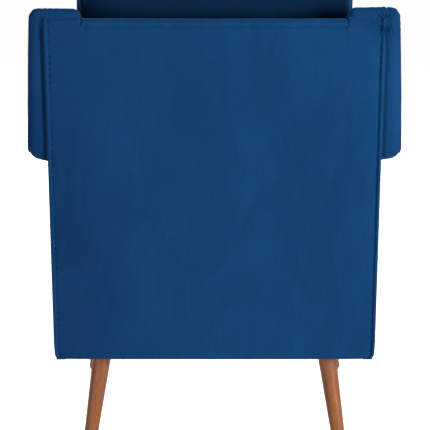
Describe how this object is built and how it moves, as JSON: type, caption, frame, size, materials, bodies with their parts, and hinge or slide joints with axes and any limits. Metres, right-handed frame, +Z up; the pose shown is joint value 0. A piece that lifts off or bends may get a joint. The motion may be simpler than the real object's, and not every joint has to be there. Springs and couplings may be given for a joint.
{
  "type": "upholstered armchair",
  "caption": "Upholstered armchair with padded slab arms that overhang a raked box body, loose seat and back cushions, and splayed tapered wooden legs.",
  "frame": {"origin": "on the floor, at the centre of the footprint box", "axes": "+Z up, the sitter faces -Y, and +X is the sitter's left"},
  "size_m": [0.7, 0.7692, 0.9321],
  "materials": {
    "velvet": "short-pile upholstery velvet, navy blue",
    "foam": null,
    "cloth": "non-woven lining cloth",
    "webbing": "woven elastic webbing",
    "leg_wood": "stained and satin lacquered hardwood",
    "frame_wood": "rough sawn hardwood and plywood",
    "card": "grey board",
    "plated_steel": "zinc plated steel",
    "spring_steel": "oiled spring steel wire",
    "glide_plastic": "black nylon",
    "zip": "dyed nylon coil and tape"
  },
  "bodies": {
    "chair": {"back_straps": "webbing", "back_tack_rail": "frame_wood", "back_top_rail": "frame_wood", "deck_cloth": "cloth", "deck_cover": "velvet", "deck_pad": "foam", "dust_cover": "cloth", "dust_cover_staples": "plated_steel", "front_left_leg": "leg_wood", "front_rail": "frame_wood", "front_rail_cover": "velvet", "front_right_leg": "leg_wood", "hanger_bolts": "plated_steel", "inside_back_cover": "velvet", "inside_back_foam": "foam", "left_arm_cover": "velvet", "left_arm_foam": "foam", "left_arm_ledger": "frame_wood", "left_arm_panel": "frame_wood", "left_arm_top_rail": "frame_wood", "left_back_post": "frame_wood", "left_front_facing": "velvet", "left_front_post": "frame_wood", "left_inner_side_board": "card", "left_inner_side_pad": "foam", "left_side_cover": "velvet", "left_side_rail": "frame_wood", "leg_blocks": "frame_wood", "leg_glides": "glide_plastic", "leg_plate_screws": "plated_steel", "leg_plates": "plated_steel", "outside_back_card": "card", "outside_back_panel": "velvet", "rear_left_leg": "leg_wood", "rear_rail": "frame_wood", "rear_right_leg": "leg_wood", "right_arm_cover": "velvet", "right_arm_foam": "foam", "right_arm_ledger": "frame_wood", "right_arm_panel": "frame_wood", "right_arm_top_rail": "frame_wood", "right_back_post": "frame_wood", "right_front_facing": "velvet", "right_front_post": "frame_wood", "right_inner_side_board": "card", "right_inner_side_pad": "foam", "right_side_cover": "velvet", "right_side_rail": "frame_wood", "seat_springs": "spring_steel", "spring_clips": "plated_steel"},
    "seat_cushion": {"seat_cushion_core": "foam", "seat_cushion_cover": "velvet", "seat_zip": "zip"},
    "back_cushion": {"back_cushion_core": "foam", "back_cushion_cover": "velvet", "back_zip": "zip"},
    "seat_zip_slider_body": {"seat_zip_slider": "plated_steel"},
    "back_zip_slider_body": {"back_zip_slider": "plated_steel"}
  },
  "joints": [
    {"name": "seat_cushion_slide", "type": "slide", "parent": "chair", "child": "seat_cushion", "axis": [0, -0.9986, 0.0523], "range_m": [0, 0.6]},
    {"name": "back_cushion_lift", "type": "slide", "parent": "chair", "child": "back_cushion", "axis": [0, 0.1564, 0.9877], "range_m": [0, 0.55]},
    {"name": "seat_zip_run", "type": "slide", "parent": "seat_cushion", "child": "seat_zip_slider_body", "axis": [1, 0, 0], "range_m": [0, 0.385]},
    {"name": "back_zip_run", "type": "slide", "parent": "back_cushion", "child": "back_zip_slider_body", "axis": [1, 0, 0], "range_m": [0, 0.385]}
  ]
}
